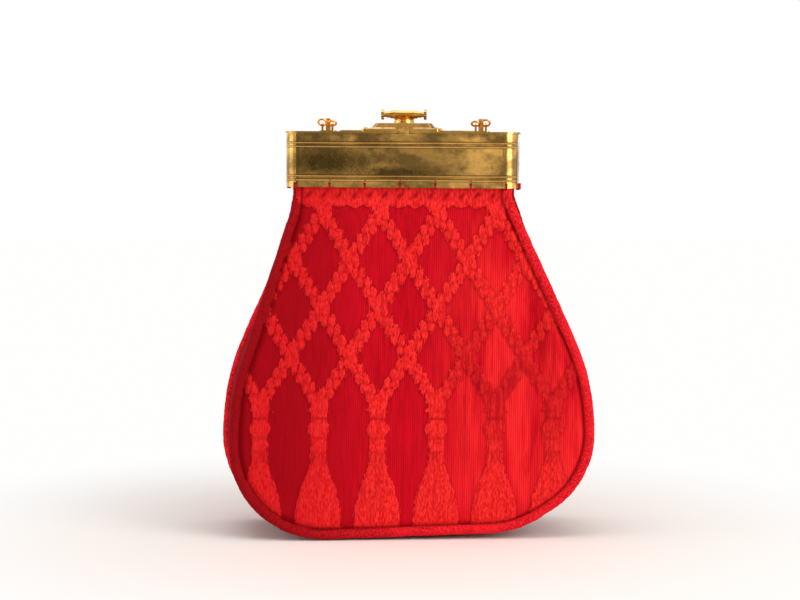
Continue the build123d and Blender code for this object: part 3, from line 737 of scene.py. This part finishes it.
velvet_material = figured_velvet()
velvet_pieces = {}
for name, net, side in (("front_velvet", front_net, -1), ("back_velvet", back_net, 1)):
    panel = net_object(name, net)
    apply_modifier(panel, "SUBSURF", levels=2, render_levels=2, boundary_smooth="PRESERVE_CORNERS")
    points = mesh_points(panel)
    flow, height = points[:, 0] * -side, points[:, 2]
    depth, gap = pile_pattern(flow, height)
    to_seam = seam_distance(points, net)
    store(panel, "pile_edge", depth)
    # The gaps also darken the pile's colour there, as painted shade
    store(panel, "pile_gap_shade", gap)
    # Where the painted sheen lies: towards one side, fading above and below the middle
    store(panel, "painted_sheen", smooth_step(flow, 12, 60) * (1 - smooth_step(np.abs(height - 110), 70, 115)))
    # How much painted shade each point takes, growing towards the side away from the light
    store(panel, "side_shade", smooth_step(-flow, 8, 75))
    # Where the painted shade on the pile lies: the middle of the lit side
    store(panel, "pile_shade", smooth_step(flow, 18, 52) * (1 - smooth_step(np.abs(height - 100), 8, 62)))
    store(panel, "seam_shade", np.exp(-(to_seam - groove_place) ** 2))
    belly_fold = 96 - 0.30 * np.abs(height - 96)
    shoulder_fold = 84 - 0.34 * (height - 150)
    folds = fold_depth * crease(flow - belly_fold, 5.5, height, 100, 45, 80)
    folds += 0.6 * fold_depth * crease(flow - shoulder_fold, 5.0, height, 158, 20, 48)
    roll = edge_roll * smooth_step(to_seam, groove_place, 7.5) * (1 - smooth_step(height, 200, 222))
    rise = pile_rise * smooth_step(depth, *pile_fall) * (1 - gap_drop * gap)
    outward = mesh_normals(panel)
    outward *= np.where(outward[:, 1] * side > 0, 1.0, -1.0)[:, None]
    move_mesh(panel, points + outward * (rise - folds + roll)[:, None])
    if panel.data.polygons[0].normal[1] * side < 0:
        panel.data.flip_normals()
    apply_modifier(panel, "SOLIDIFY", thickness=cloth_thickness * mm, offset=-1)
    finish(panel, velvet_material)
    velvet_pieces[name] = panel
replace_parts(velvet_pieces["front_velvet"], "front_panel")
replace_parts(velvet_pieces["back_velvet"], "back_panel")

# Gusset
# A strip of plain short-pile velvet, darker than the panels with painted shade because it faces away from the
# light, joins the two panels down the sides and under the base. It is sewn to both in the piped seams.
gusset = net_object("gusset_velvet", gusset_net)
apply_modifier(gusset, "SUBSURF", levels=2, render_levels=2, boundary_smooth="PRESERVE_CORNERS")
turn_outward(gusset)
apply_modifier(gusset, "SOLIDIFY", thickness=cloth_thickness * mm, offset=-1)


def plain_velvet(name, dark, light, sheen, tuft_scale=1300, side_shade_colour=None):
    material, nodes, links = new_material(name)
    cloth = nodes["Principled BSDF"]
    tufts = object_noise(nodes, links, (1, 1, 1), tuft_scale, 3)
    patches = object_noise(nodes, links, (1, 1, 1), 45, 3)
    colour = mix_colour(nodes, links, map_range(nodes, links, tufts, 0.35, 0.65), dark, light)
    colour = mix_colour(nodes, links, map_range(nodes, links, patches, 0.45, 0.8, 0, 0.6), colour, light)
    # Painted shade towards the side away from the light, on pieces that carry it
    if side_shade_colour:
        colour = mix_colour(nodes, links, stored(nodes, "side_shade"), colour, side_shade_colour)
    links.new(colour, cloth.inputs["Base Color"])
    raised(nodes, links, tufts, 0.6, 0.0005, cloth)
    cloth.inputs["Roughness"].default_value = 0.8
    cloth.inputs["Specular IOR Level"].default_value = 0.05
    cloth.inputs["Sheen Weight"].default_value = sheen
    cloth.inputs["Sheen Roughness"].default_value = 0.45
    cloth.inputs["Sheen Tint"].default_value = (1.0, 0.15, 0.15, 1)
    return material


# Painted shade: the gusset's reds are darker than the panels' because it faces away from the light
gusset_shaded_dark = (0.15, 0.0008, 0.004, 1)
gusset_shaded_red = (0.32, 0.002, 0.009, 1)
finish(gusset, plain_velvet("gusset_pile", gusset_shaded_dark, gusset_shaded_red, 0.05))
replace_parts(gusset, "gusset")

# Piping
# Each seam holds a cord covered with the same velvet, a little uneven where the cover was pulled round it.
# It is sewn in along the whole seam, and its ends go up into the frame, drawn in and thinner there.
piping_radius = 3.1
piping_thinner = 0.8
piping_drawn_in = 2.0
piping_top = 228.5
piping_spacing = 0.8
piping_round = 30
piping_rough = 0.55
piping_dark = (0.40, 0.0014, 0.0080, 1)
piping_bright = (1.0, 0.0200, 0.0300, 1)
# Painted shade: the dark red laid on the piping towards the side away from the light
piping_side_shade = (0.22, 0.0004, 0.003, 1)
piping_material = plain_velvet("piping_pile", piping_dark, piping_bright, 0.08, 900, side_shade_colour=piping_side_shade)


def uneven(point):
    return noise.noise(Vector(point) / 1.6) * 0.45 + noise.noise(Vector(point) / 9.0) * 0.5


def piping(name, rim):
    """A round cord along the seam, closed at its ends."""
    rim = rim[rim[:, 2] < piping_top].copy()
    rim[:, 1] -= np.sign(rim[:, 1]) * piping_drawn_in * smooth_step(rim[:, 2], 205, 226)
    path = evenly(rim, int(np.linalg.norm(np.diff(rim, axis=0), axis=1).sum() / piping_spacing))
    along = np.gradient(path, axis=0)
    along /= np.linalg.norm(along, axis=1)[:, None]
    out = np.cross(along, (0.0, 1.0, 0.0))
    out /= np.linalg.norm(out, axis=1)[:, None]
    front = np.cross(out, along)
    angles = np.linspace(0, 2 * pi, piping_round + 1)
    ring = np.cos(angles)[None, :, None] * out[:, None] + np.sin(angles)[None, :, None] * front[:, None]
    radius = piping_radius - piping_thinner * smooth_step(path[:, 2], 210, 226)
    place = path[:, None] + radius[:, None, None] * ring
    rough = np.array([uneven(point) for point in place[:, :-1].reshape(-1, 3)])
    rough = rough.reshape(len(place), piping_round)
    rough = np.concatenate((rough, rough[:, :1]), axis=1)
    place += ring * rough[..., None] * piping_rough
    place[..., 2] = np.maximum(place[..., 2], 0.0)
    cord = net_object(name, place)
    weld(cord, weld_gap / 2, close_ends=True)
    points = mesh_points(cord)
    # Painted shade along the piping, growing towards the side away from the light
    store(cord, "side_shade", 0.85 * smooth_step(points[:, 0] * np.sign(points[:, 1]), -40, 95))
    finish(cord, piping_material)
    return cord


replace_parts(piping("front_piping_cord", gusset_net[:, 0]), "front_piping")
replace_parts(piping("back_piping_cord", gusset_net[:, -1]), "back_piping")

# Lining
# A thin bag of plain satin hangs inside the velvet, cut from the same three shapes a little smaller. It is
# sewn in with the velvet under the frame, open at the top, and seen only when the lid is up.
lining_gap = 4.2
lining_thickness = 0.6
lining_dark = (0.10, 0.006, 0.010, 1)
lining_red = (0.16, 0.012, 0.016, 1)
lining = joined("lining_cloth", front_net, back_net, gusset_net)
move_mesh(lining, mesh_points(lining) - mesh_normals(lining) * lining_gap)
apply_modifier(lining, "SUBSURF", levels=1, render_levels=1)
apply_modifier(lining, "SOLIDIFY", thickness=lining_thickness * mm, offset=-1)
finish(lining, plain_velvet("lining_satin", lining_dark, lining_red, 0.0, 900))
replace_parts(lining, "lining")

# Brass
# The frame, lid and clasp are sheet and cast brass, polished long ago and tarnished since: olive and brown
# patches, partly tarnish and partly painted dark reflections, and two dark stains on the broad faces, clean gold
# on the beads with a painted shadow beside each, the clasp and the turned parts, and painted shade on the clasp's
# housing.
bead_heights = [231.3, 233.9, 252.7, 255.2]
bead_gold = (0.66, 0.36, 0.09, 1)
# Painted shadow: the dark brown laid along each side of a raised bead
bead_shadow_brown = (0.16, 0.085, 0.025, 1)
stain_brown = (0.085, 0.053, 0.016, 1)
frame_stains = [(-46.0, 243.5, 22.0, 8.0), (4.0, 236.0, 24.0, 4.0)]
clean_brass = (0.90, 0.53, 0.15, 1)
# Olive brass: partly tarnish, partly painted dark reflection of the room in front
olive_brass = (0.24, 0.145, 0.045, 1)
lid_gold = (0.70, 0.43, 0.13, 1)
lid_brown = (0.30, 0.17, 0.05, 1)
bright_gold = (0.90, 0.50, 0.12, 1)
warm_brown = (0.45, 0.23, 0.05, 1)
# Painted shade: a darker copy of the clasp's gold and brown for the housing
housing_shaded_gold = (0.36, 0.19, 0.045, 1)
housing_shaded_brown = (0.16, 0.08, 0.02, 1)


def off_middle(nodes, links, coordinate, middle, half):
    """Squared distance from a middle, as a share of half a width."""
    share = calculate(nodes, links, "SUBTRACT", coordinate, middle * mm)
    share = calculate(nodes, links, "DIVIDE", share, half * mm)
    return calculate(nodes, links, "MULTIPLY", share, share)


def brass(name, gold, dark, tarnish_and_reflection, rough_low, rough_high, wave, beads=(), stains=()):
    material, nodes, links = new_material(name)
    metal = nodes["Principled BSDF"]
    patches = object_noise(nodes, links, (0.8, 1, 1.5), 42, 4, 0.55)
    clouds = object_noise(nodes, links, (1, 1, 1), 150, 4, 0.65)
    specks = object_noise(nodes, links, (1, 1, 1), 620, 3, 0.6)
    blend = calculate(nodes, links, "ADD", calculate(nodes, links, "MULTIPLY", patches, 0.72),
                      calculate(nodes, links, "MULTIPLY", clouds, 0.28))
    # Olive and brown patches: partly tarnish, partly painted dark reflections
    colour = mix_colour(nodes, links, map_range(nodes, links, blend, 0.44, 0.57, 0, tarnish_and_reflection), gold, dark)
    colour = mix_colour(nodes, links, map_range(nodes, links, specks, 0.58, 0.72, 0, 0.35), colour, dark)
    position = nodes.new("ShaderNodeTexCoord")
    axes = nodes.new("ShaderNodeSeparateXYZ")
    links.new(position.outputs["Object"], axes.inputs[0])
    for across, height, half_wide, half_tall in stains:
        reach = calculate(nodes, links, "ADD", off_middle(nodes, links, axes.outputs["X"], across, half_wide),
                          off_middle(nodes, links, axes.outputs["Z"], height, half_tall))
        reach = calculate(nodes, links, "ADD", reach, map_range(nodes, links, blend, 0.36, 0.64, -0.9, 0.9))
        reach = calculate(nodes, links, "ADD", reach, map_range(nodes, links, specks, 0.3, 0.7, -0.5, 0.5))
        colour = mix_colour(nodes, links, map_range(nodes, links, reach, -0.2, 2.0, 0.92, 0), colour, stain_brown)
    for height in beads:
        away = calculate(nodes, links, "SUBTRACT", axes.outputs["Z"], height * mm)
        away = calculate(nodes, links, "ABSOLUTE", away)
        on_bead = map_range(nodes, links, away, 0.4 * mm, 0.6 * mm, 0.6, 0)
        # Painted shadow along each side of the bead
        bead_shadow = calculate(nodes, links, "MULTIPLY", map_range(nodes, links, away, 0.45 * mm, 0.65 * mm),
                           map_range(nodes, links, away, 0.8 * mm, 1.2 * mm, 0.85, 0))
        colour = mix_colour(nodes, links, on_bead, colour, bead_gold)
        colour = mix_colour(nodes, links, bead_shadow, colour, bead_shadow_brown)
    links.new(colour, metal.inputs["Base Color"])
    links.new(map_range(nodes, links, blend, 0.42, 0.60, rough_low, rough_high), metal.inputs["Roughness"])
    metal.inputs["Metallic"].default_value = 1.0
    raised(nodes, links, object_noise(nodes, links, (1, 1, 1), 60, 2, 0.4), wave, 0.0006, metal)
    return material


frame_brass = brass("frame_brass", clean_brass, olive_brass, 0.9, 0.08, 0.24, 0.35, bead_heights, frame_stains)
lid_brass = brass("lid_brass", lid_gold, lid_brown, 0.6, 0.16, 0.30, 0.25)
clasp_gold = brass("clasp_gold", bright_gold, warm_brown, 0.7, 0.14, 0.28, 0.15)
# The clasp's brass made darker for the housing, as painted shade
shaded_housing_brass = brass("shaded_housing_brass", housing_shaded_gold, housing_shaded_brown, 0.7, 0.18, 0.32, 0.2)


def finish_nodes(material, *names):
    for name in names:
        piece = bpy.data.objects[name]
        piece.data.materials.clear()
        piece.data.materials.append(material)


finish_nodes(frame_brass, "frame_band", "catch", "hinge_frame_leaf")
finish_nodes(lid_brass, "lid_plate", "hinge_lid_leaf", "hinge_pin", "latch_finger", "spindle_nut")
finish_nodes(clasp_gold, "clasp_base", "clasp_rivets", "turn_saddle", "turn_bar", "lock_spindle")
finish_nodes(clasp_gold, "ring_bracket_left", "handle_ring_left_inner", "handle_ring_left_outer")
finish_nodes(clasp_gold, "ring_bracket_right", "handle_ring_right_inner", "handle_ring_right_outer")
finish_nodes(shaded_housing_brass, "clasp_housing")

# Sewing thread
# Red thread holds the velvet to the frame: it goes through each hole along the frame's lower edge and
# round the edge into the cloth.
thread_dark = (0.30, 0.002, 0.008, 1)
thread_red = (0.55, 0.008, 0.014, 1)
finish_nodes(plain_velvet("red_thread", thread_dark, thread_red, 0.05, 2500), "sewing_thread")

# Base board
# A stiff board of raw grey-brown card keeps the base flat, so that the bag stands by itself. It lies loose
# between the gusset and the lining, and the lining hides it.
card_dark = (0.20, 0.15, 0.10, 1)
card_light = (0.34, 0.27, 0.19, 1)
material, nodes, links = new_material("raw_card")
card = nodes["Principled BSDF"]
fibres = object_noise(nodes, links, (1, 1, 1), 300, 4)
links.new(mix_colour(nodes, links, fibres, card_dark, card_light), card.inputs["Base Color"])
card.inputs["Roughness"].default_value = 0.9
finish_nodes(material, "base_board")

bpy.context.scene.view_settings.view_transform = "Standard"
